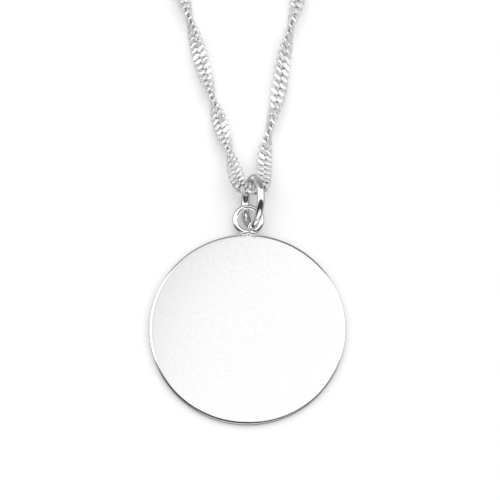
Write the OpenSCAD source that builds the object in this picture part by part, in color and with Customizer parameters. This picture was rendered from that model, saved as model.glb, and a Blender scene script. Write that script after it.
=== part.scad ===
// Disc pendant necklace: a bare round disc on a soldered ring, a round jump ring and a
// fine twisted curb chain that closes with a plain spring ring. It lies on a flat surface.
// Sizes are in millimetres, +Z is up, and the origin is under the middle of the whole loop.

/* [Pendant disc] */
// Diameter of the disc
disc_d = 25; // [22:0.5:27]
// Thickness of the disc
disc_t = 0.95; // [0.8:0.05:1.1]
// Width of the bevel along both edges of the disc
disc_bevel = 0.2; // [0.1:0.05:0.3]
// Lean of the disc, whose top edge is propped up by the rings, in degrees
disc_tilt = 2; // [1.8:0.1:2.2]

/* [Soldered ring] */
// Outer diameter of the ring that is soldered on top of the disc
solder_ring_d = 4.07; // [3.9:0.01:4.2]
// Wire diameter of the soldered ring
solder_wire_d = 0.69; // [0.6:0.01:0.75]
// How far the ring's wire is sunk into the disc's rim
solder_sink = 0.06; // [0.04:0.01:0.1]

/* [Jump ring] */
// Outer diameter of the loose ring between the pendant and the chain
jump_ring_d = 7; // [6.9:0.05:7.1]
// Wire diameter of the jump ring
jump_wire_d = 1; // [0.95:0.01:1.02]
// Lean of the jump ring from upright, to the right, in degrees
jump_lean = 19.6; // [18:0.2:21]
// Turn of the jump ring about the vertical, in degrees
jump_turn = 1.7; // [0:0.1:3]

/* [Chain] */
// Width of the twisted chain, and so the diameter of the space that it turns in
chain_d = 2.1; // [1.9:0.05:2.1]
// Thickness of the chain, as a share of its width, where it folds through the jump ring
fold_share = 0.67; // [0.6:0.01:0.7]

/* [Clasp] */
// Outer diameter of the spring ring
clasp_d = 6; // [5.8:0.1:6.2]
// Wire diameter of the spring ring
clasp_wire_d = 1.2; // [1.1:0.05:1.3]
// Outer diameter of the upright ring between the spring ring's eye and the chain
eye_ring_d = 3.4; // [3.3:0.05:3.5]
// Outer diameter of the upright ring that the spring ring closes on
catch_ring_d = 4; // [3.9:0.05:4.1]
// Wire diameter of the eye and of both upright rings
small_wire_d = 0.6; // [0.55:0.01:0.65]

/* [Hidden] */
$fn = 96;

silver = [0.88, 0.88, 0.9];
bright_silver = [0.95, 0.95, 0.96];

disc_r = disc_d / 2;
solder_wire_r = solder_wire_d / 2;
solder_r = solder_ring_d / 2 - solder_wire_r;
jump_wire_r = jump_wire_d / 2;
jump_r = jump_ring_d / 2 - jump_wire_r;
clasp_wire_r = clasp_wire_d / 2;
clasp_r = clasp_d / 2 - clasp_wire_r;
small_wire_r = small_wire_d / 2;
eye_ring_r = eye_ring_d / 2 - small_wire_r;
catch_ring_r = catch_ring_d / 2 - small_wire_r;

// Height of the disc's middle: its lowest point is the rim of its back face
disc_z = (disc_r - disc_bevel) * sin(disc_tilt) + disc_t / 2 * cos(disc_tilt);
// The soldered ring stands on the disc's rim, a little right of its middle line
solder_x = 0.13;
solder_y = disc_r + solder_ring_d / 2 - solder_sink;
// Beads of solder along the foot of the ring: place across, place above the rim and radius
bead_x = 0;
bead_rise = 1;
bead_r = 2;
solder_beads = [
    [-0.86, -0.02, 0.2],
    [-0.55, 0.04, 0.28],
    [0.5, 0.04, 0.28],
    [0.84, -0.02, 0.2]
];

// Middle of the jump ring, from the disc's middle: its lowest point touches the surface
jump_x = 0.71;
jump_y = 16.34;
jump_z = jump_wire_r + jump_r * cos(jump_lean);

// The clasp lies at the far end of the loop, raised by the upright rings that it hooks
clasp_y = 215.5;
clasp_z = 1.4;
// Its eye is a small ring joined to its left side, and one upright ring passes through that
eye_r = 1;
eye_reach = 0.7;
eye_x = -(clasp_d / 2 + eye_reach);
eye_ring_x = eye_x - eye_ring_r;
// The other upright ring passes through the spring ring, this far right of its middle
catch_hook_x = 1.1;
catch_ring_x = catch_hook_x + catch_ring_r;

// The loop runs from the disc's near edge to the clasp's far edge: the origin is midway
mid_y = (clasp_y + clasp_d / 2 - disc_r) / 2;

// The chain's route from the disc's middle, left end first: x, y and height of its middle
// line, and its radius there as a share of the full one
route_r = 3;
chain_z = chain_d / 2;
route = [
    [-7.1, 215.5, chain_z, 1],
    [-19, 210.5, chain_z, 1],
    [-28.5, 202, chain_z, 1],
    [-34.5, 191.5, chain_z, 1],
    [-37.3, 179, chain_z, 1],
    [-36.9, 163.5, chain_z, 1],
    [-34.8, 148.5, chain_z, 1],
    [-31.7, 133.5, chain_z, 1],
    [-28.2, 118.5, chain_z, 1],
    [-24.4, 103.5, chain_z, 1],
    [-20.5, 88.5, chain_z, 1],
    [-16.5, 73.5, chain_z, 1],
    [-12.3, 58.5, chain_z, 1],
    [-8.1, 43.8, chain_z, 1],
    [-4.4, 30.5, chain_z, 1],
    [-3.3, 26.8, 1.1, 1],
    [-2.5, 24, 1.4, 1],
    [-1.8, 21.4, 2.2, 0.86],
    [-1.2, 19.3, 3.1, 0.72],
    [-0.4, 18.1, 3.6, fold_share],
    [0.6, 17.8, 3.6, fold_share],
    [1.6, 18.2, 3.2, fold_share],
    [2, 19.4, 2.4, 0.72],
    [2.1, 21.2, 1.7, 0.86],
    [2.3, 23.6, 1.2, 1],
    [2.8, 26.5, 1.1, 1],
    [3.8, 30.5, chain_z, 1],
    [4.8, 36.9, chain_z, 1],
    [6.4, 43.8, chain_z, 1],
    [9.4, 58.5, chain_z, 1],
    [12.8, 73.5, chain_z, 1],
    [16.6, 88.5, chain_z, 1],
    [20.6, 103.5, chain_z, 1],
    [24.9, 118.5, chain_z, 1],
    [29.2, 133.5, chain_z, 1],
    [33.2, 148.5, chain_z, 1],
    [36.4, 163.5, chain_z, 1],
    [37.3, 179, chain_z, 1],
    [34.5, 191.5, chain_z, 1],
    [28.5, 202, chain_z, 1],
    [18, 211, chain_z, 1],
    [5.1, 215.5, chain_z, 1]
];
tube_sides = 8;
rings_per_span = 2;

function xyz(p) = [p[0], p[1], p[2]];
function unit(v) = v / norm(v);

// Direction of the route at point i, weighted by the lengths of the spans beside it
last = len(route) - 1;
function span(i) = norm(xyz(route[i + 1]) - xyz(route[i]));
function slope(i) = (xyz(route[i + 1]) - xyz(route[i])) / span(i);
function heading(i) =
    i == 0 ? 2 * slope(0) - heading(1)
    : i == last ? 2 * slope(last - 1) - heading(last - 1)
    : (slope(i - 1) * span(i) + slope(i) * span(i - 1)) / (span(i - 1) + span(i));

// Smooth curve through the points: place, direction and radius at share s of span i
function place(i, s) =
    (2 * s ^ 3 - 3 * s ^ 2 + 1) * xyz(route[i])
    + (s ^ 3 - 2 * s ^ 2 + s) * span(i) * heading(i)
    + (3 * s ^ 2 - 2 * s ^ 3) * xyz(route[i + 1])
    + (s ^ 3 - s ^ 2) * span(i) * heading(i + 1);
function direction(i, s) =
    unit((6 * s ^ 2 - 6 * s) * (xyz(route[i]) - xyz(route[i + 1]))
    + (3 * s ^ 2 - 4 * s + 1) * span(i) * heading(i)
    + (3 * s ^ 2 - 2 * s) * span(i) * heading(i + 1));
function radius(i, s) =
    chain_d / 2 * (route[i][route_r] * (1 - s) + route[i + 1][route_r] * s);

// One ring of the tube's points, square to the route
function ring_points(i, s) =
    let (along = direction(i, s), side = unit(cross(along, [0, 0, 1])), up = cross(side, along))
    [for (k = [0 : tube_sides - 1])
        let (a = (k + 0.5) * 360 / tube_sides)
        place(i, s) + radius(i, s) / cos(180 / tube_sides) * (cos(a) * side + sin(a) * up)];

function tube_rings() =
    [for (i = [0 : last - 1], j = [0 : rings_per_span - 1]) ring_points(i, j / rings_per_span),
     ring_points(last - 1, 1)];

module tube(rings) {
    n = tube_sides;
    count = len(rings);
    points = [for (ring = rings, p = ring) p];
    sides = [for (i = [0 : count - 2], k = [0 : n - 1])
        [i * n + k, i * n + (k + 1) % n, (i + 1) * n + (k + 1) % n, (i + 1) * n + k]];
    start_cap = [for (k = [0 : n - 1]) n - 1 - k];
    end_cap = [for (k = [0 : n - 1]) (count - 1) * n + k];
    polyhedron(points, concat(sides, [start_cap], [end_cap]));
}

module wire_ring(middle_r, wire_r) {
    rotate_extrude() translate([middle_r, 0]) circle(wire_r);
}

module disc_plate() {
    half = disc_t / 2;
    rotate_extrude()
        polygon([
            [0, -half],
            [disc_r - disc_bevel, -half],
            [disc_r, -half + disc_bevel],
            [disc_r, half - disc_bevel],
            [disc_r - disc_bevel, half],
            [0, half]
        ]);
}

module pendant_disc() {
    color(bright_silver)
        translate([0, -mid_y, disc_z])
        rotate([disc_tilt, 0, 0]) {
            disc_plate();
            translate([solder_x, solder_y, 0]) wire_ring(solder_r, solder_wire_r);
            for (b = solder_beads)
                translate([solder_x + b[bead_x], disc_r + b[bead_rise], 0]) sphere(b[bead_r]);
        }
}

module jump_ring() {
    color(silver)
        translate([jump_x, jump_y - mid_y, jump_z])
        rotate([0, 90 + jump_lean, jump_turn])
        wire_ring(jump_r, jump_wire_r);
}

module chain() {
    color(silver)
        translate([0, -mid_y, 0])
        tube(tube_rings());
}

module clasp() {
    color(silver)
        translate([0, clasp_y - mid_y, clasp_z]) {
            wire_ring(clasp_r, clasp_wire_r);
            translate([eye_x, 0, 0]) wire_ring(eye_r, small_wire_r);
        }
}

module upright_ring(x, middle_r) {
    color(silver)
        translate([x, clasp_y - mid_y, middle_r + small_wire_r])
        rotate([90, 0, 0])
        wire_ring(middle_r, small_wire_r);
}

module eye_ring() {
    upright_ring(eye_ring_x, eye_ring_r);
}

module catch_ring() {
    upright_ring(catch_ring_x, catch_ring_r);
}

pendant_disc();
jump_ring();
chain();
clasp();
eye_ring();
catch_ring();
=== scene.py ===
# %% [markdown]
# # A disc pendant on a fine twisted chain
# The necklace lies on a pale surface. A polished round disc hangs on a small ring that is
# soldered to its edge, a loose jump ring joins that to the chain, and the chain runs round in
# one long loop to a spring ring. Everything here is silver, so the picture depends on two
# things: true round shapes for the light to slide over, and a room for the silver to mirror.
# All sizes are in metres. The construction model comes first, and every piece is measured
# from it.

# %% Load the construction model
import math

import bpy
import numpy as np
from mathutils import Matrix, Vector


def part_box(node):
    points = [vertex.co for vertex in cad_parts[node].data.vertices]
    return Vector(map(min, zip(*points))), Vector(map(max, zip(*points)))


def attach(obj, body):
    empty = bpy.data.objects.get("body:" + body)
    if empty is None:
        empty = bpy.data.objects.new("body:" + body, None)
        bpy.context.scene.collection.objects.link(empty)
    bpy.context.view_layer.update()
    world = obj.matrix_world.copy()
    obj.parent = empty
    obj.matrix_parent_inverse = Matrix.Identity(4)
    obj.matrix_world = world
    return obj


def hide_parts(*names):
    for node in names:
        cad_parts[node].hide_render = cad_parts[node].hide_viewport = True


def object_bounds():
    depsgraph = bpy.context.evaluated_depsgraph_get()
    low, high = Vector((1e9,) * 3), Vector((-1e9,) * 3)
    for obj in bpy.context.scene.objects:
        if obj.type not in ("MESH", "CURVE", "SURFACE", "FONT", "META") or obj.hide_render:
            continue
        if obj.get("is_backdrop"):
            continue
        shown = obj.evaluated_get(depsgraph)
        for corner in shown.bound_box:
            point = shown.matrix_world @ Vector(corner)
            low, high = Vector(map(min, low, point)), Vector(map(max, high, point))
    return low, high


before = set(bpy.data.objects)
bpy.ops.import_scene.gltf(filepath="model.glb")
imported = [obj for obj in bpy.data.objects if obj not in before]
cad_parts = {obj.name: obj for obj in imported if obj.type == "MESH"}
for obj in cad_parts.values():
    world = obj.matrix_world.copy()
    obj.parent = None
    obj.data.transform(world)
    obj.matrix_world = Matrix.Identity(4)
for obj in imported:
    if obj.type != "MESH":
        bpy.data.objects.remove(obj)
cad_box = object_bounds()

MM = 0.001
TURN = 2 * math.pi

spans = [round(side / MM, 2) for side in cad_box[1] - cad_box[0]]
print("construction model spans, in mm:", spans)

# %% [markdown]
# ## From rows of points to a mesh
# Every piece of this necklace is a bar of some section that runs round a path: the edge of the
# disc, a ring of wire, a link. So one helper is enough. It takes a grid of points, where each
# row is one section, and joins neighbouring rows with four-sided faces. A closed ring joins its
# last row to its first. The alternative, a curve with a bevel, is quicker to type but gives no
# hold on single points, and the links need exactly that. A mesh can also carry one more number
# for each point. The chain uses that to tell its material how deep inside it a point lies.


# %% Mesh helpers
def grid_faces(rows, columns, rows_close):
    """Four-sided faces between neighbouring points of a grid whose columns always close."""
    row = np.arange(rows if rows_close else rows - 1)
    column = np.arange(columns)
    r, c = np.meshgrid(row, column, indexing="ij")
    r_next = (r + 1) % rows
    c_next = (c + 1) % columns
    this_row, next_row = r * columns, r_next * columns
    corners = [this_row + c, this_row + c_next, next_row + c_next, next_row + c]
    return np.stack(corners, axis=-1).reshape(-1, 4)


def make_piece(name, points, faces, material, flat_faces=None, reach=None):
    """A mesh object that rides on the necklace, smooth but for the faces that are cut flat.

    Reach says of each point how far out it lies in the chain, from 0 deep inside to 1, and the
    chain's material paints shade where it is low."""
    mesh = bpy.data.meshes.new(name)
    mesh.from_pydata(points.tolist(), [], [list(map(int, face)) for face in faces])
    smooth = np.ones(len(mesh.polygons), dtype=bool)
    if flat_faces is not None:
        smooth[: len(flat_faces)] = ~flat_faces
    mesh.polygons.foreach_set("use_smooth", smooth)
    if reach is not None:
        mesh.attributes.new("reach", "FLOAT", "POINT").data.foreach_set("value", reach)
    mesh.materials.append(material)
    mesh.update()
    piece = bpy.data.objects.new(name, mesh)
    bpy.context.scene.collection.objects.link(piece)
    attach(piece, "root")
    print(name, "has", len(mesh.vertices), "points and", len(mesh.polygons), "faces")
    return piece


def moved(points, across, along, up, middle):
    """Points in a piece's own axes, set into the frame by three directions and a middle."""
    return points @ np.array([across, along, up]) + np.array(middle)


# %% [markdown]
# ## The camera
# The photograph looks down steeply from the disc's lower side, so the disc is a hardly
# flattened circle. A camera one metre away sees almost no perspective, which suits a jewel
# that was photographed from afar through a long lens. The camera aims at the point of the
# disc's own plane that lies in the middle of the picture.

# %% Camera
disc_low, disc_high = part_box("pendant_disc")
disc_radius = (disc_high.x - disc_low.x) / 2
disc_tilt = math.radians(2)
disc_middle_y = -103 * MM

picture_width = 63.94 * MM
camera_distance = 1.0
camera_height_angle = math.radians(73.8)
aim = np.array([0.345, -93.25, 3.738]) * MM
camera_side = np.array([0, -math.cos(camera_height_angle), math.sin(camera_height_angle)])

camera_data = bpy.data.cameras.new("camera")
camera_data.angle = 2 * math.atan(picture_width / 2 / camera_distance)
camera_data.clip_start = 0.01
camera = bpy.data.objects.new("camera", camera_data)
camera.location = aim + camera_distance * camera_side
camera.rotation_euler = (math.pi / 2 - camera_height_angle, 0, 0)
bpy.context.scene.collection.objects.link(camera)
bpy.context.scene.camera = camera
print("camera stands at", [round(v, 4) for v in camera.location])

# %% [markdown]
# ## Shader sums as plain sums
# A material is a web of nodes, and sums on it soon fill a page. This small class wraps one
# output of a node, so that `1 - mask` or `grain * 0.3 + 0.2` adds the Math nodes by itself.
# Any other node comes from its `node` method.


# %% Socket class
class Socket:
    """One output of a node. Sums with it add Math nodes to its tree."""

    def __init__(self, tree, output=None):
        self.tree = tree
        self.output = output

    def node(self, kind, settings=None, inputs=None, out=0):
        """Adds a node: its settings first, then a value or a link for each named socket."""
        made = self.tree.nodes.new(kind)
        for name, value in (settings or {}).items():
            setattr(made, name, value)
        for key, value in (inputs or {}).items():
            if isinstance(value, Socket):
                self.tree.links.new(value.output, made.inputs[key])
            else:
                made.inputs[key].default_value = value
        return Socket(self.tree, made.outputs[out] if len(made.outputs) else None)

    def sum_node(self, operation, first, second):
        """One Math node on two values, of which at least one is a socket."""
        return self.node("ShaderNodeMath", {"operation": operation}, {0: first, 1: second})

    def __add__(self, other):
        return self.sum_node("ADD", self, other)

    def __radd__(self, other):
        return self.sum_node("ADD", other, self)

    def __sub__(self, other):
        return self.sum_node("SUBTRACT", self, other)

    def __rsub__(self, other):
        return self.sum_node("SUBTRACT", other, self)

    def __mul__(self, other):
        return self.sum_node("MULTIPLY", self, other)

    def __rmul__(self, other):
        return self.sum_node("MULTIPLY", other, self)

    def ramp(self, start, end, low=0.0, high=1.0):
        """Goes smoothly from low to high as this value goes from start to end."""
        inputs = {"Value": self, 1: start, 2: end, 3: low, 4: high}
        return self.node("ShaderNodeMapRange", {"interpolation_type": "SMOOTHSTEP"}, inputs)


# %% [markdown]
# ## Silver
# Polished silver has no colour of its own beyond a trace of cold: what shows is the room,
# blurred a little by the polish. Three faint marks tell the eye that it is metal and not
# chrome paint. Slow clouds in the roughness are the polisher's hand, fine streaks along one
# direction are the last buffing, and specks a shade darker are the grain of the polish. All
# are noise textures in the piece's own coordinates, stretched differently on each axis. The
# chain's links are cut and not polished. Their scratches are far too small for a picture, so
# half of the shader's metal gives way to a matt white there, which looks the same from afar.
# Deep between the links the colour is painted darker, as painted shade where the links hide
# each other from the light. Each point of a link carries a number for how far out it lies, and the
# shader reads that.


# %% Noise and tones
noise_roughness = 0.6
trace_of_cold = 0.002


def new_material(name):
    """An empty node material, and a socket to start its nodes from."""
    material = bpy.data.materials.new(name)
    material.use_nodes = True
    material.node_tree.nodes.clear()
    return material, Socket(material.node_tree)


def stretched_noise(start, per_mm, detail):
    """Noise in the piece's own coordinates, with so many grains to the millimetre each way."""
    place = start.node("ShaderNodeTexCoord", out="Object")
    scale = [grains / MM for grains in per_mm]
    inputs = {0: place, 1: scale}
    spread = start.node("ShaderNodeVectorMath", {"operation": "MULTIPLY"}, inputs)
    inputs = {"Vector": spread, "Scale": 1.0, "Detail": detail, "Roughness": noise_roughness}
    return start.node("ShaderNodeTexNoise", {}, inputs, "Fac")


def two_tones(start, share, tones):
    """A mix of a light and a dark silver, where share says how much of the dark one shows."""
    light, dark = tones
    light_colour = (light, light, light, 1)
    dark_colour = (dark, dark, dark + trace_of_cold, 1)
    inputs = {0: share, 6: light_colour, 7: dark_colour}
    return start.node("ShaderNodeMix", {"data_type": "RGBA"}, inputs, 2)


# %% Tone of the polish, and painted shade of the links
speck_grains = (4, 2.5, 4)
speck_begins, speck_full = 0.3, 0.7
speck_tones = (0.99, 0.95)
# The links' dark tone is painted shade, deep between the links and in the fold.
shade_full_below, shade_gone_above = 0.15, 0.65
link_painted_shade_tones = (1.0, 0.4)


def grain_of_polish(start):
    """Faint specks, a little longer than wide, as a buffing wheel leaves them."""
    specks = stretched_noise(start, speck_grains, detail=1.0).ramp(speck_begins, speck_full)
    return two_tones(start, specks, speck_tones)


def painted_crevice_shade(start):
    """Painted shade: bright silver far out on a link, and a darker colour deep between the links.
    """
    reach = start.node("ShaderNodeAttribute", {"attribute_name": "reach"}, {}, "Fac")
    return two_tones(start, 1 - reach.ramp(shade_full_below, shade_gone_above), link_painted_shade_tones)


# %% Silver
cloud_grains = (0.2, 0.2, 0.2)
noise_middle = 0.5


def silver(name, roughness, clouds, streak_grains, streak_depth, metal=1.0, tone=grain_of_polish):
    """Silver with clouds in its roughness and streaks with so many grains to the millimetre."""
    material, start = new_material(name)
    cloud = stretched_noise(start, cloud_grains, detail=1.0)
    streak = stretched_noise(start, streak_grains, detail=4.0)
    cloud_rise, streak_rise = cloud - noise_middle, streak - noise_middle
    colour = tone(start)
    inputs = {"Strength": 1.0, "Distance": streak_depth, "Height": streak}
    bumped = start.node("ShaderNodeBump", {}, inputs)
    inputs = {
        "Base Color": colour,
        "Metallic": metal,
        "Roughness": roughness + cloud_rise * clouds + streak_rise * (clouds / 2),
        "Normal": bumped,
    }
    shader = start.node("ShaderNodeBsdfPrincipled", {}, inputs)
    start.node("ShaderNodeOutputMaterial", {}, {"Surface": shader})
    return material


# %% The four finishes
disc_silver = silver(
    "polished_disc_silver",
    roughness=0.12, clouds=0.01, streak_grains=(3, 0.1, 3), streak_depth=0.0006 * MM,
)
ring_silver = silver(
    "bright_ring_silver",
    roughness=0.06, clouds=0.03, streak_grains=(2, 2, 2), streak_depth=0.0006 * MM,
)
chain_silver = silver(
    "cut_chain_silver",
    roughness=0.1, clouds=0.06, streak_grains=(3, 3, 3), streak_depth=0.001 * MM,
    metal=0.45, tone=painted_crevice_shade,
)
clasp_silver = silver(
    "clasp_silver",
    roughness=0.09, clouds=0.04, streak_grains=(2, 2, 2), streak_depth=0.0008 * MM,
)
print("finishes:", [m.name for m in (disc_silver, ring_silver, chain_silver, clasp_silver)])

# %% [markdown]
# ## The disc
# The real disc is stamped from sheet, its edge is broken to a soft slope, and the buffing wheel
# leaves its face a hair lower towards the rim. That last part matters more than its size: a
# perfectly flat mirror shows one spot of the room, while a face that falls away by two degrees
# shows a soft shade that deepens towards the edge. The disc is turned like a pot, from a
# profile. The slope along its edge mirrors a dark part of the room as one thin line, and in the
# photograph that line is bold at the bottom and almost gone at the lower right. No light does
# that on an even edge, so a short table says how wide the slope is on each side.

# %% Where the disc lies
disc_half = 0.475 * MM
disc_bevel = 0.2 * MM
cos_tilt, sin_tilt = math.cos(disc_tilt), math.sin(disc_tilt)
disc_right = (1, 0, 0)
disc_along = (0, cos_tilt, sin_tilt)
disc_up = (0, -sin_tilt, cos_tilt)
disc_rest = (disc_radius - disc_bevel) * sin_tilt + disc_half * cos_tilt
disc_middle = np.array([0, disc_middle_y, disc_rest])
print("the disc's middle is", round(disc_rest / MM, 3), "mm above the surface")

# %% Disc profile
edge_fall = math.radians(2.2)
edge_length = 0.4 * MM
edge_slope = [(0, 2.2), (0.12, 22), (0.6, 27), (1, 90)]
edge_rows, face_rows, back_rows = 20, 36, 12
hub = 0.02


def edge_profile():
    """Steps out and down over the edge: a slope that grows from the face's to upright."""
    along, degrees = zip(*edge_slope)
    slope = np.radians(np.interp((np.arange(edge_rows) + 0.5) / edge_rows, along, degrees))
    out = np.cumsum(np.cos(slope)) * edge_length / edge_rows
    down = np.cumsum(np.sin(slope)) * edge_length / edge_rows
    return out, down


def face_fall(share, flat_radius):
    """How far the face has sunk at this share of the way out. Its slope grows as the square."""
    return edge_fall * flat_radius / 3 * share**3


def disc_profile():
    """Half of the disc's section: from the middle of its face, over the edge, to its back."""
    out, down = edge_profile()
    flat_radius = disc_radius - out[-1]
    share = np.linspace(hub, 1, face_rows)
    fall = face_fall(share, flat_radius)
    face = np.stack([share * flat_radius, disc_half - fall], axis=1)
    upper = np.stack([flat_radius + out, disc_half - fall[-1] - down], axis=1)
    lower = np.stack([flat_radius + out[::-1], down[::-1] - disc_half], axis=1)
    back_share = np.linspace(1, hub, back_rows)
    back = np.stack([back_share * flat_radius, np.full(back_rows, -disc_half)], axis=1)
    return np.concatenate([face, upper, lower, back])


# %% Turning a profile
def turned(profile, columns):
    """A closed solid turned from a profile that starts and ends near the axis."""
    angle = np.arange(columns) * TURN / columns
    ring = np.stack([np.cos(angle), np.sin(angle)], axis=1)
    rows = [np.column_stack([r * ring, np.full(columns, z)]) for r, z in profile]
    middle_top = [0, 0, profile[0][1]]
    middle_back = [0, 0, profile[-1][1]]
    points = np.concatenate(rows + [[middle_top], [middle_back]])
    top, back = len(points) - 2, len(points) - 1
    last_row = (len(profile) - 1) * columns
    faces = [list(face[::-1]) for face in grid_faces(len(profile), columns, False)]
    faces += [[top, c, (c + 1) % columns] for c in range(columns)]
    faces += [[back, last_row + (c + 1) % columns, last_row + c] for c in range(columns)]
    return points, faces


# %% Edge of uneven width
edge_shares = [
    (-150, 0.7), (-135, 0.75), (-115, 0.95), (-90, 1.05), (-75, 0.7), (-45, 0.3),
    (0, 0.3), (30, 0.9), (60, 1.2), (100, 1.1), (150, 0.8),
]
just_past = 1.0001
tiny_radius = 1e-9


def uneven_edge(points):
    """Draws the soft edge in or out of the face: the polisher's wheel took more on one side."""
    radius = np.hypot(points[:, 0], points[:, 1])
    degrees = np.degrees(np.arctan2(points[:, 1], points[:, 0]))
    sides, shares = zip(*edge_shares)
    share = np.interp(degrees, sides, shares, period=360)
    edge_out = edge_profile()[0][-1]
    flat_radius = disc_radius - edge_out
    on_edge = radius > flat_radius * just_past
    on_face = radius * (disc_radius - edge_out * share) / flat_radius
    drawn = np.where(on_edge, disc_radius - (disc_radius - radius) * share, on_face)
    shoulder = np.where(points[:, 2] > 0, disc_half - face_fall(1, flat_radius), -disc_half)
    height = np.where(on_edge, shoulder + (points[:, 2] - shoulder) * share, points[:, 2])
    level = points[:, :2] * (drawn / np.maximum(radius, tiny_radius))[:, None]
    return np.column_stack([level, height])


# %% Disc plate
around = 256
disc_points, disc_faces = turned(disc_profile(), around)
disc_points = uneven_edge(disc_points)
disc_points = moved(disc_points, disc_right, disc_along, disc_up, disc_middle)
disc_plate = make_piece("disc_plate", disc_points, disc_faces, disc_silver)
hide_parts("pendant_disc")

# %% [markdown]
# ## Rings of round wire
# The soldered ring, the jump ring and the rings at the clasp are all the same thing: round wire
# bent into a circle. One function sweeps the wire's section round the circle, and each ring
# only says how large it is, where it is, and which way its axis points.


# %% Ring function
def ring_of_wire(middle_radius, wire_radius, columns=40, rows=160):
    """Points and faces of a wire ring that lies flat, with its middle at the origin."""
    turn = (np.arange(rows) * TURN / rows)[:, None]
    section = (np.arange(columns) * TURN / columns)[None, :]
    radius = middle_radius + wire_radius * np.cos(section)
    height = wire_radius * np.sin(section) + 0 * turn
    points = np.stack([radius * np.cos(turn), radius * np.sin(turn), height], axis=-1)
    return points.reshape(-1, 3), grid_faces(rows, columns, True)[:, ::-1]


# %% [markdown]
# ## The soldered ring and its solder
# The small ring stands on the disc's edge in the disc's own plane. Where the two meet, solder
# has flowed into the corner on both sides and left a low saddle between two swellings. That is
# a short bar along the edge whose thickness is given by a formula: two soft humps side by side.

# %% Soldered ring
solder_wire = 0.345 * MM
solder_radius = 1.69 * MM
solder_x = 0.13 * MM
solder_sink = 0.06 * MM
solder_rise = disc_radius + solder_radius + solder_wire - solder_sink

ring_points, ring_faces = ring_of_wire(solder_radius, solder_wire)
ring_middle = disc_middle + solder_x * np.array(disc_right) + solder_rise * np.array(disc_along)
ring_points = moved(ring_points, disc_right, disc_along, disc_up, ring_middle)
soldered_ring = make_piece("soldered_ring", ring_points, ring_faces, ring_silver)
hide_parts("pendant_disc")

# %% Solder
foot_half_length = 1.05 * MM
hump_place = 0.52 * MM
hump_width = 0.3 * MM
hump_radius = 0.42 * MM
saddle_radius = 0.14 * MM
foot_height = 0.27 * MM
tip_share = 0.02


def solder_bar(rows=65, columns=24):
    """A bar along the disc's edge that swells at two places and closes to a point at its ends."""
    x = np.linspace(-1, 1, rows) * foot_half_length
    humps = np.exp(-(((np.abs(x) - hump_place) / hump_width) ** 2))
    taper = np.sqrt(np.clip(1 - (x / foot_half_length) ** 4, tip_share**2, 1))
    radius = (saddle_radius + (hump_radius - saddle_radius) * humps) * taper
    follow = disc_radius - np.sqrt(disc_radius**2 - (x + solder_x) ** 2)
    turn = np.arange(columns) * TURN / columns
    height = foot_height - follow[:, None] + radius[:, None] * np.cos(turn)
    depth = radius[:, None] * np.sin(turn)
    points = np.stack([x[:, None] + 0 * height, height, depth], axis=-1).reshape(-1, 3)
    faces = [list(face) for face in grid_faces(rows, columns, False)]
    first_tip = list(range(columns))
    last_tip = list(range((rows - 1) * columns, rows * columns))
    return points, faces + [first_tip[::-1], last_tip]


foot_points, foot_faces = solder_bar()
foot_middle = disc_middle + solder_x * np.array(disc_right) + disc_radius * np.array(disc_along)
foot_points = moved(foot_points, disc_right, disc_along, disc_up, foot_middle)
solder_foot = make_piece("solder_foot", foot_points, foot_faces, ring_silver)
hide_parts("pendant_disc")

# %% [markdown]
# ## The jump ring
# The jump ring is slack: it stands on its lowest point inside the soldered ring and leans over
# to the right until the chain holds it. So its axis points right and a little down.

# %% Jump ring
jump_radius = 3.0 * MM
jump_wire = 0.5 * MM
jump_lean = math.radians(19.6)
jump_turn = math.radians(1.7)
jump_low, jump_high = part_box("jump_ring")
jump_middle = (np.array(jump_low) + np.array(jump_high)) / 2

level_axis = np.array([math.cos(jump_turn), math.sin(jump_turn), 0])
jump_axis = math.cos(jump_lean) * level_axis - math.sin(jump_lean) * np.array([0, 0, 1])
jump_side = np.array([-math.sin(jump_turn), math.cos(jump_turn), 0])
jump_top = np.cross(jump_axis, jump_side)

jump_points, jump_faces = ring_of_wire(jump_radius, jump_wire, columns=48, rows=192)
jump_points = moved(jump_points, jump_side, jump_top, jump_axis, jump_middle)
jump_ring = make_piece("jump_ring_wire", jump_points, jump_faces, ring_silver)
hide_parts("jump_ring")

# %% [markdown]
# ## The chain's route
# The chain is laid along one smooth line that was drawn as a list of points, left end
# first: down the left side, through the jump ring, and up the right side. Between two points
# the line is a cubic that meets its neighbours in place and direction. The points are measured
# from the disc's middle, as the construction model has them.

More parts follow.
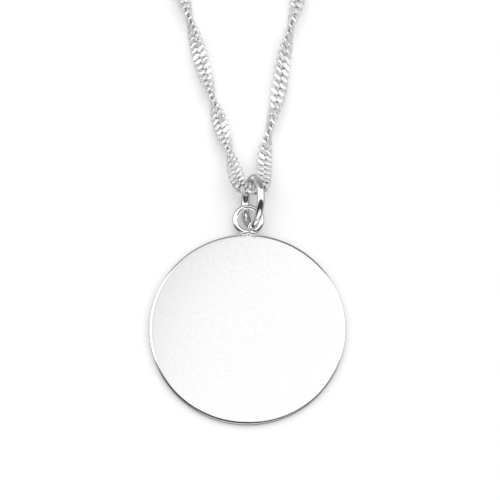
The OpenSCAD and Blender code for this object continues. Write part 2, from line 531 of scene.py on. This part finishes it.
# %% Route points
lie = 0.00105
route = np.array([
    (-0.0071, 0.2155, lie),
    (-0.019, 0.2105, lie),
    (-0.0285, 0.202, lie),
    (-0.0345, 0.1915, lie),
    (-0.0373, 0.179, lie),
    (-0.0369, 0.1635, lie),
    (-0.0348, 0.1485, lie),
    (-0.0317, 0.1335, lie),
    (-0.0282, 0.1185, lie),
    (-0.0244, 0.1035, lie),
    (-0.0205, 0.0885, lie),
    (-0.0165, 0.0735, lie),
    (-0.0123, 0.0585, lie),
    (-0.0081, 0.0438, lie),
    (-0.0044, 0.0305, lie),
    (-0.0033, 0.0268, 0.0011),
    (-0.0025, 0.024, 0.0014),
    (-0.0018, 0.0214, 0.0022),
    (-0.0012, 0.0193, 0.0031),
    (-0.0004, 0.0181, 0.0036),
    (0.0006, 0.0178, 0.0036),
    (0.0016, 0.0182, 0.0032),
    (0.002, 0.0194, 0.0024),
    (0.0021, 0.0212, 0.0017),
    (0.0023, 0.0236, 0.0012),
    (0.0028, 0.0265, 0.0011),
    (0.0038, 0.0305, lie),
    (0.0048, 0.0369, lie),
    (0.0064, 0.0438, lie),
    (0.0094, 0.0585, lie),
    (0.0128, 0.0735, lie),
    (0.0166, 0.0885, lie),
    (0.0206, 0.1035, lie),
    (0.0249, 0.1185, lie),
    (0.0292, 0.1335, lie),
    (0.0332, 0.1485, lie),
    (0.0364, 0.1635, lie),
    (0.0373, 0.179, lie),
    (0.0345, 0.1915, lie),
    (0.0285, 0.202, lie),
    (0.018, 0.211, lie),
    (0.0051, 0.2155, lie),
])
route = route + np.array([0, disc_middle_y, 0])
print("the route has", len(route), "points")


# %% Smooth line through the points
steps_per_span = 400


def smooth_line(points, steps):
    """A cubic between each two points, headed by the spans on both sides of each point."""
    span = np.linalg.norm(np.diff(points, axis=0), axis=1)[:, None]
    slope = np.diff(points, axis=0) / span
    inner = (slope[:-1] * span[1:] + slope[1:] * span[:-1]) / (span[:-1] + span[1:])
    heading = np.concatenate([[2 * slope[0] - inner[0]], inner, [2 * slope[-1] - inner[-1]]])
    s = (np.arange(steps) / steps)[None, :, None]
    start, end = points[:-1, None], points[1:, None]
    lead, follow = heading[:-1, None] * span[:, None], heading[1:, None] * span[:, None]
    curve = (2 * s**3 - 3 * s**2 + 1) * start + (s**3 - 2 * s**2 + s) * lead
    curve = curve + (3 * s**2 - 2 * s**3) * end + (s**3 - s**2) * follow
    return np.concatenate([curve.reshape(-1, 3), points[-1:]])


line = smooth_line(route, steps_per_span)
lengths = np.linalg.norm(np.diff(line, axis=0), axis=1)
line_place = np.concatenate([[0], np.cumsum(lengths)])
line_heading = np.gradient(line, line_place, axis=0)
print("the chain's line is", round(line_place[-1] / MM, 1), "mm long")

# %% [markdown]
# ## The twist
# This chain is a curb chain that was wrung: its flat faces turn round its length about once
# every two centimetres, so the eye meets them broadside, edge on, and broadside again. Near the
# pendant the turns are uneven, as the photograph shows them. The two sides are wound opposite
# ways, each the other's mirror image. The table gives the distance from the lowest turn of the
# chain and the half turns wrung by there. At a half and at one and a half the chain is seen edge
# on. Past what the photograph shows it turns evenly, and both ends stop at such a place, so that
# their last links stand upright.

# %% Twist along the chain
turn_place = line_place[np.argmin(line[:, 1])]
left_length = turn_place
right_length = line_place[-1] - turn_place
half_turn = 10.4 * MM
left_seen = 26.0 * MM
right_seen = 24.4 * MM

left_twist = np.array([
    (0, -0.15),
    (3.2 * MM, 0),
    (7.07 * MM, 0.5),
    (14.5 * MM, 1.5),
    (left_seen, 2.5),
    (left_length, 2.5 + round((left_length - left_seen) / half_turn)),
])
right_twist = np.array([
    (0, -0.22),
    (5.0 * MM, 0),
    (9.75 * MM, 0.5),
    (16.55 * MM, 1.0),
    (right_seen, 1.5),
    (right_length, 1.5 + round((right_length - right_seen) / half_turn)),
])


def half_turns(place):
    """How far the chain is wrung, in half turns, at a place along its line."""
    from_turn = place - turn_place
    left = np.interp(-from_turn, left_twist[:, 0], left_twist[:, 1])
    right = np.interp(from_turn, right_twist[:, 0], right_twist[:, 1])
    return np.where(from_turn < 0, left, right)


print("half turns at the two ends:", left_twist[-1, 1], right_twist[-1, 1])


# %% Axes along the chain
def chain_axes(place):
    """Middle, heading, across and face direction of the wrung chain at places along its line."""
    inside = np.clip(place, 0, line_place[-1])
    middle = np.stack([np.interp(inside, line_place, line[:, k]) for k in range(3)], axis=-1)
    heading = [np.interp(inside, line_place, line_heading[:, k]) for k in range(3)]
    heading = np.stack(heading, axis=-1)
    heading = heading / np.linalg.norm(heading, axis=-1, keepdims=True)
    middle = middle + (place - inside)[..., None] * heading
    side = np.cross(heading, [0, 0, 1])
    side = side / np.linalg.norm(side, axis=-1, keepdims=True)
    up = np.cross(side, heading)
    angle = (half_turns(inside) * math.pi)[..., None]
    face = np.cos(angle) * up + np.sin(angle) * side
    return middle, heading, np.cross(face, heading), face


# %% [markdown]
# ## One link
# A link of a curb chain is an oval of wire that has been twisted, so that two opposite quarters
# stand up and the other two go down, and each link lies in the next one's slope. Seen from
# above, the standing quarters are the bright slanting strokes, and the wire is wider there. The
# chain was also pressed from both sides and from its edges, which leaves a narrow flat on each
# stroke. So the link is an oval with a rise that goes up and down twice on the way round. It is
# as long as its room along the chain asks for, and what stands proud of the press is cut back.

# %% Path of a link
length_share = 0.75
skew_share = 0.08
link_half_width = 0.9 * MM
link_rise = 0.27 * MM
link_straighten = 0.12
link_level = 0.2


def link_path(angle, hand, space):
    """The middle line of a link's wire. Hand 1 and -1 are mirror images, and 0 joins them."""
    straighten = link_straighten / (1 + link_straighten)
    half_length = length_share * space
    skew = skew_share * space / MM
    x = half_length * (np.cos(angle) * (1 - straighten) + straighten * np.cos(3 * angle))
    y = link_half_width * (np.sin(angle) * (1 - straighten) - straighten * np.sin(3 * angle))
    rise = link_rise * (np.sin(2 * angle) + link_level * np.sin(6 * angle)) / (1 - link_level)
    if hand == 0:
        rise = -np.abs(rise) * np.sign(np.sin(angle))
        return np.stack([x + skew * np.abs(y) * np.sign(-x), y, rise], axis=-1)
    return np.stack([x + skew * y, hand * y, rise], axis=-1)


# %% Wire of a link
widen_share = 0.12
wire_half_width = 0.165 * MM
wire_half_height = 0.16 * MM
link_rows, link_columns = 24, 12


def swept_wire(path_points, half_width, half_height, columns):
    """A closed wire round a nearly level path: one section of points for each point of it."""
    tangent = np.roll(path_points, -1, axis=0) - np.roll(path_points, 1, axis=0)
    tangent = tangent / np.linalg.norm(tangent, axis=1, keepdims=True)
    out = np.cross(tangent, [0, 0, 1])
    out = out / np.linalg.norm(out, axis=1, keepdims=True)
    up = np.cross(out, tangent)
    section = ((np.arange(columns) + 0.5) * TURN / columns)[None, :, None]
    wide = np.reshape(half_width, (-1, 1, 1)) * np.cos(section)
    ring = wide * out[:, None] + half_height * np.sin(section) * up[:, None]
    return path_points[:, None] + ring


def link_wire(hand, space):
    """The points of one link in its own axes, with wire that widens where it stands up."""
    angle = np.arange(link_rows) * TURN / link_rows
    half_width = wire_half_width + widen_share * space * np.sin(2 * angle) ** 2
    return swept_wire(link_path(angle, hand, space), half_width, wire_half_height, link_columns)


print("each link has", link_rows * link_columns, "points")

# %% Press
face_height = 0.34 * MM
edge_height = 0.98 * MM
press_tilt = math.radians(6)


def press(points, middle, face, limit):
    """Cuts back what stands proud of two planes, at the same height to both sides."""
    height = (points - middle) @ face
    cut = np.abs(height) > limit
    points = points - np.where(cut, height - np.sign(height) * limit, 0)[..., None] * face
    return points, cut


pressed = [round(2 * limit / MM, 2) for limit in (edge_height, face_height)]
print("the links are pressed to, in mm:", pressed)

# %% [markdown]
# ## All the links
# The same link is set down nearly six hundred times along the line, about fourteen to each
# half turn. Links lie 0.68 to 0.94 mm apart, as the photograph shows them on each side, and
# each is a little shorter or longer for it. Each of a link's points takes the chain's own axes
# at the place where that point lies, so a link bends and turns with the chain, and neighbours
# stay clear of each other but for a few that touch in the fold. Pressing comes last, in the
# link's own plane, and that plane is tipped by a few degrees at random: real links never lie
# quite alike, and this is what makes a chain sparkle. In the fold at the jump ring the links
# crowd and shade each other, so their number for how far out they lie is lowered, and their
# colour is painted darker there as painted shade.
# The two tables below give a distance from the lowest turn and a link's room there, both in
# millimetres.

# %% Room along both sides
left_spaces = np.array([
    (0, 0.68), (6, 0.72), (14, 0.74), (17, 0.78), (30, 0.78), (40, 0.74),
]) * MM
right_spaces = np.array([
    (0, 0.68), (5, 0.75), (8, 0.92), (26, 0.94), (36, 0.74),
]) * MM
left_last_x = -7.49 * MM
right_last_x = 5.42 * MM
end_steps = 600


def place_where_x(x, last_steps):
    """The place, within the last steps at one end of the line, where it has this x."""
    order = np.argsort(line[last_steps, 0])
    return np.interp(x, line[last_steps, 0][order], line_place[last_steps][order])


left_last = turn_place - place_where_x(left_last_x, slice(0, end_steps))
right_last = place_where_x(right_last_x, slice(-end_steps, None)) - turn_place
print("the sides are", round(left_last / MM, 1), "and", round(right_last / MM, 1), "mm long")


def link_places(spaces, length, samples=6000):
    """How far from the lowest turn each link of one side sits, and the space that it has."""
    distance = np.linspace(0, length, samples)
    space = np.interp(distance, spaces[:, 0], spaces[:, 1])
    count = np.concatenate([[0], np.cumsum(np.diff(distance) / space[1:])])
    links = round(count[-1])
    at = np.interp(np.arange(links + 1), count * links / count[-1], distance)
    return at, np.interp(at, distance, space)


# %% Setting a link
luck = np.random.default_rng(seed=7)


def set_link(hand, place, space):
    """One link's points in the frame, which of them are pressed, and how far out they lie."""
    wire = link_wire(hand, space)
    outward = np.abs(wire[..., 1:]) / (edge_height, face_height)
    middle, heading, across, face = chain_axes(place + wire[..., 0])
    points = middle + wire[..., 1:2] * across + wire[..., 2:3] * face
    centre, centre_heading, centre_across, centre_face = chain_axes(np.array([place]))
    tips = luck.normal(0, press_tilt, 2)
    plane = centre_face[0] + tips[0] * centre_heading[0] + tips[1] * centre_across[0]
    plane = plane / np.linalg.norm(plane)
    points, face_cut = press(points, centre[0], plane, face_height)
    edge = centre_across[0] + luck.normal(0, press_tilt) * centre_heading[0] - tips[1] * plane
    edge = edge / np.linalg.norm(edge)
    points, edge_cut = press(points, centre[0], edge, edge_height)
    reach = np.clip(outward.max(axis=-1), 0, 1)
    return points.reshape(-1, 3), face_cut.reshape(-1), edge_cut.reshape(-1), reach.reshape(-1)


# %% Both sides of the chain
# Painted shadow in the fold: the links' reach is lowered there, so their colour is painted darker.
fold_ends = (2.2 * MM, 3.4 * MM)
fold_shaded_reach = 0.48


def side_of_chain(name, hand, spaces, length, first):
    """All the links from the chain's lowest turn to one end, as one mesh."""
    distances, room = link_places(spaces, length)
    places = turn_place - hand * distances[first:]
    size = link_rows * link_columns
    quads = grid_faces(link_rows, link_columns, True)
    if hand == -1:
        quads = quads[:, ::-1]
    links, faces, flats, reaches = [], [], [], []
    for i, (place, space) in enumerate(zip(places, room[first:])):
        this_hand = 0 if first + i == 0 else hand
        points, face_cut, edge_cut, reach = set_link(this_hand, place, space)
        links.append(points)
        faces.append(quads + i * size)
        flats.append(face_cut[quads].all(axis=1) | edge_cut[quads].all(axis=1))
        # Painted shade in the fold: lowers the reach that the chain's material darkens by.
        fold_shade = np.interp(abs(place - turn_place), fold_ends, (fold_shaded_reach, 1))
        reaches.append(reach * fold_shade)
    links, faces = np.concatenate(links), np.concatenate(faces)
    flats, reaches = np.concatenate(flats), np.concatenate(reaches)
    piece = make_piece(name, links, faces, chain_silver, flats, reaches)
    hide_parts("chain")
    print(name, "has", len(places), "links, the last with", round(room[-1] / MM, 3), "mm of room")


side_of_chain("chain_left", hand=1, spaces=left_spaces, length=left_last, first=0)
side_of_chain("chain_right", hand=-1, spaces=right_spaces, length=right_last, first=1)

# %% [markdown]
# ## The ends and the clasp
# At the back of the neck each side ends in one longer plain link, which hangs on a small upright
# ring. The left ring stays in the eye of the spring ring, and the right one is what the spring
# ring closes on. The longer link lies across the bend of the chain's last link, which is what
# lets the two pass through each other and stay clear. None of this is in the photograph, so it
# is kept plain and takes its sizes from the construction model.

# %% End links
end_half_width = 0.8 * MM
end_wire = 0.165 * MM
end_tilt = math.radians(40)
end_rise = 0.1 * MM
end_rows, end_columns = 48, 16
clasp_low, clasp_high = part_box("clasp")
clasp_y = (clasp_low.y + clasp_high.y) / 2


def end_link(name, inner_x, outer_x):
    """A plain oval link from one place along X to another, tilted about its own length."""
    half_length = abs(outer_x - inner_x) / 2
    angle = np.arange(end_rows) * TURN / end_rows
    oval = [half_length * np.cos(angle), end_half_width * np.sin(angle), 0 * angle]
    wire = swept_wire(np.stack(oval, axis=-1), end_wire, end_wire, end_columns)
    across = (0, math.cos(end_tilt), math.sin(end_tilt))
    up = (0, -math.sin(end_tilt), math.cos(end_tilt))
    middle = ((inner_x + outer_x) / 2, clasp_y, lie + end_rise)
    points = moved(wire.reshape(-1, 3), (1, 0, 0), across, up, middle)
    faces = grid_faces(end_rows, end_columns, True)
    piece = make_piece(name, points, faces, chain_silver, reach=np.ones(len(points)))
    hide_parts("chain")


end_link("end_link_left", inner_x=-5.5 * MM, outer_x=-7.3 * MM)
end_link("end_link_right", inner_x=3.3 * MM, outer_x=5.25 * MM)


# %% Clasp and its rings
def clasp_ring(name, node, middle_radius, wire_radius, middle, upright, finish):
    """A ring of wire at the clasp, level or upright along X. Its finish is a slot name, which is
    not used, and a material.
    """
    points, faces = ring_of_wire(middle_radius, wire_radius, columns=32, rows=128)
    if upright:
        points = moved(points, (1, 0, 0), (0, 0, 1), (0, -1, 0), middle)
    else:
        points = points + np.array(middle)
    slot, material = finish
    piece = make_piece(name, points, faces, material)
    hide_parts(node)


clasp_radius = 2.4 * MM
clasp_wire = 0.6 * MM
small_wire = 0.3 * MM
eye_radius = 1.0 * MM
clasp_z = (clasp_low.z + clasp_high.z) / 2
eye_x = clasp_low.x + eye_radius + small_wire
clasp_middle = (0, clasp_y, clasp_z)
eye_middle = (eye_x, clasp_y, clasp_z)
finish = ("clasp_silver", clasp_silver)
clasp_ring("spring_ring", "clasp", clasp_radius, clasp_wire, clasp_middle, False, finish)
clasp_ring("spring_ring_eye", "clasp", eye_radius, small_wire, eye_middle, False, finish)
for node in ("eye_ring", "catch_ring"):
    low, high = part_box(node)
    radius = (high.x - low.x) / 2 - small_wire
    middle = (low + high) / 2
    finish = ("ring_silver", ring_silver)
    clasp_ring(node + "_wire", node, radius, small_wire, middle, True, finish)

# %% [markdown]
# ## The surface
# The necklace lies on a plain white surface that is lit until it just turns pure white, so all
# that is left of it is the soft shadow that gathers where a piece comes near. The silver mirrors
# that surface as well, and in the photograph it does so as a mid grey that outlines every wire.
# So the surface has two paints, and the kind of ray that arrives chooses between them: a bright
# one for the camera and for shadows, and a duller one for mirrors.

# %% Floor
floor_half = 1.5
floor_corners = np.array([(-1, -1, 0), (1, -1, 0), (1, 1, 0), (-1, 1, 0)]) * floor_half
floor_mesh = bpy.data.meshes.new("floor")
floor_mesh.from_pydata(floor_corners.tolist(), [], [(0, 1, 2, 3)])
floor = bpy.data.objects.new("floor", floor_mesh)
bpy.context.scene.collection.objects.link(floor)
floor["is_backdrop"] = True

paper_grains = (2, 2, 2)
paper_roughness, paper_clouds = 0.6, 0.1
floor_material, floor_start = new_material("white_surface")
paper = stretched_noise(floor_start, paper_grains, detail=4.0)


def floor_paint(tone, glow):
    """A matt white with a trace of grain, and a glow that keeps its shadows open."""
    inputs = {
        "Base Color": (tone, tone, tone, 1),
        "Roughness": paper_roughness + (paper - noise_middle) * paper_clouds,
        "Specular IOR Level": 0.1,
        "Emission Color": (1, 1, 1, 1),
        "Emission Strength": glow,
    }
    return floor_start.node("ShaderNodeBsdfPrincipled", {}, inputs)


mirrored_ray = floor_start.node("ShaderNodeLightPath", out="Is Glossy Ray")
bright_paint = floor_paint(tone=0.87, glow=0.12)
mirrored_paint = floor_paint(tone=0.37, glow=0.0)
paints = {0: mirrored_ray, 1: bright_paint, 2: mirrored_paint}
floor_mix = floor_start.node("ShaderNodeMixShader", {}, paints)
floor_start.node("ShaderNodeOutputMaterial", {}, {"Surface": floor_mix})
floor_mesh.materials.append(floor_material)
print("the floor is", 2 * floor_half, "m wide")

# %% [markdown]
# ## The room that the silver mirrors
# Silver photographed in a white tent shows white, and where it shows grey or black it mirrors
# the gaps in the tent. Here one broad gap runs across from left to right on the side that the
# camera looks in from, and the far side of the tent is a mid grey. A brighter panel hangs over
# the chain, and the patch that the flat disc mirrors goes from dim to bright across it. The
# direction of a ray is a point on a globe, so each of these is a soft step along X, Y or Z. The
# far side and the patch for the disc are given by two pairs each: a place, and the tone there.
# All that isn't a mirror is lit by a second, simpler sky, brightest overhead. The softness of a
# shadow and the picture in the silver can so be tuned one at a time.

# %% Dome
world = bpy.data.worlds.new("tent")
bpy.context.scene.world = world
world.use_nodes = True
world.node_tree.nodes.clear()
sky = Socket(world.node_tree)
look = sky.node("ShaderNodeTexCoord", out="Generated")


def zone(azimuth, height, inner, outer):
    """A soft round patch of the dome. Azimuth 0 is +X and 90 is +Y, and height is from level."""
    a, h = math.radians(azimuth), math.radians(height)
    direction = (math.cos(a) * math.cos(h), math.sin(a) * math.cos(h), math.sin(h))
    settings = {"operation": "DOT_PRODUCT"}
    nearness = sky.node("ShaderNodeVectorMath", settings, {0: look, 1: direction}, "Value")
    return nearness.ramp(math.cos(math.radians(outer)), math.cos(math.radians(inner)))


# %% What the silver mirrors
gap_begins, gap_ends = (-0.8, -0.66), (-0.17, 0.0)
gap_depth = 0.95
panel_begins, panel_ends, panel_above = (-0.06, 0.04), (0.54, 0.66), (0.4, 0.56)
panel_glow = 1.2
far_left, far_right = (-0.1, 0.68), (0.4, 0.8)
sheen_dim, sheen_bright = (-0.28, 0.75), (-0.12, 1.01)
sheen_slant = 0.65

x, y, z = [sky.node("ShaderNodeSeparateXYZ", {}, {0: look}, axis) for axis in "XYZ"]
gap = y.ramp(*gap_begins) * (1 - y.ramp(*gap_ends))
panel = y.ramp(*panel_begins) * (1 - y.ramp(*panel_ends)) * z.ramp(*panel_above)
far_shade = x.ramp(far_left[0], far_right[0], far_left[1], far_right[1])
far = y.ramp(*panel_ends) * far_shade
room = 1.0 - far - gap_depth * gap + panel * panel_glow

across_disc = x - sheen_slant * y
sheen = across_disc.ramp(sheen_dim[0], sheen_bright[0], sheen_dim[1], sheen_bright[1])
seen_in_disc = zone(azimuth=90, height=78, inner=9, outer=22)
tent = room * (1 - seen_in_disc) + sheen * seen_in_disc

# %% What lights everything else
lamp_from_right, lamp_from_far = 0.12, 0.6
lamp_overhead = 0.5
lamp_strength = 1.78
lamp_side = x * lamp_from_right + y * lamp_from_far + 1
lamp = z * (z * lamp_overhead + (1 - lamp_overhead)) * lamp_side * lamp_strength


# %% A sky for each kind of ray
def glow(strength):
    """A plain white sky of this strength."""
    return sky.node("ShaderNodeBackground", {}, {"Color": (1, 1, 1, 1), "Strength": strength})


mirror_ray = sky.node("ShaderNodeLightPath", out="Is Glossy Ray")
direct_ray = sky.node("ShaderNodeLightPath", out="Is Camera Ray")
lit = sky.node("ShaderNodeMixShader", {}, {0: mirror_ray, 1: glow(lamp), 2: glow(tent)})
dome = sky.node("ShaderNodeMixShader", {}, {0: direct_ray, 1: lit, 2: glow(1.0)})
sky.node("ShaderNodeOutputWorld", {}, {"Surface": dome})
print("the sky has", len(world.node_tree.nodes), "nodes")

# %% [markdown]
# ## How the picture is developed
# Blender's usual view rolls bright tones off as film does, and turns pure white into a pale
# grey. The photograph's surface is pure white, so the plain view is used, which changes nothing.

# %% View
bpy.context.scene.view_settings.view_transform = "Standard"
print("view:", bpy.context.scene.view_settings.view_transform)

# %% [markdown]
# ## Measure and finish
# Dressing the necklace must not change its size, so the boxes of the construction model and of
# the dressed one are both printed.

# %% Sizes
dressed_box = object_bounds()
sizes = {
    "cad": [list(corner) for corner in cad_box],
    "visual": [list(corner) for corner in dressed_box],
}
for name, (low, high) in sizes.items():
    print(name, [round(v / MM, 3) for v in low], [round(v / MM, 3) for v in high])
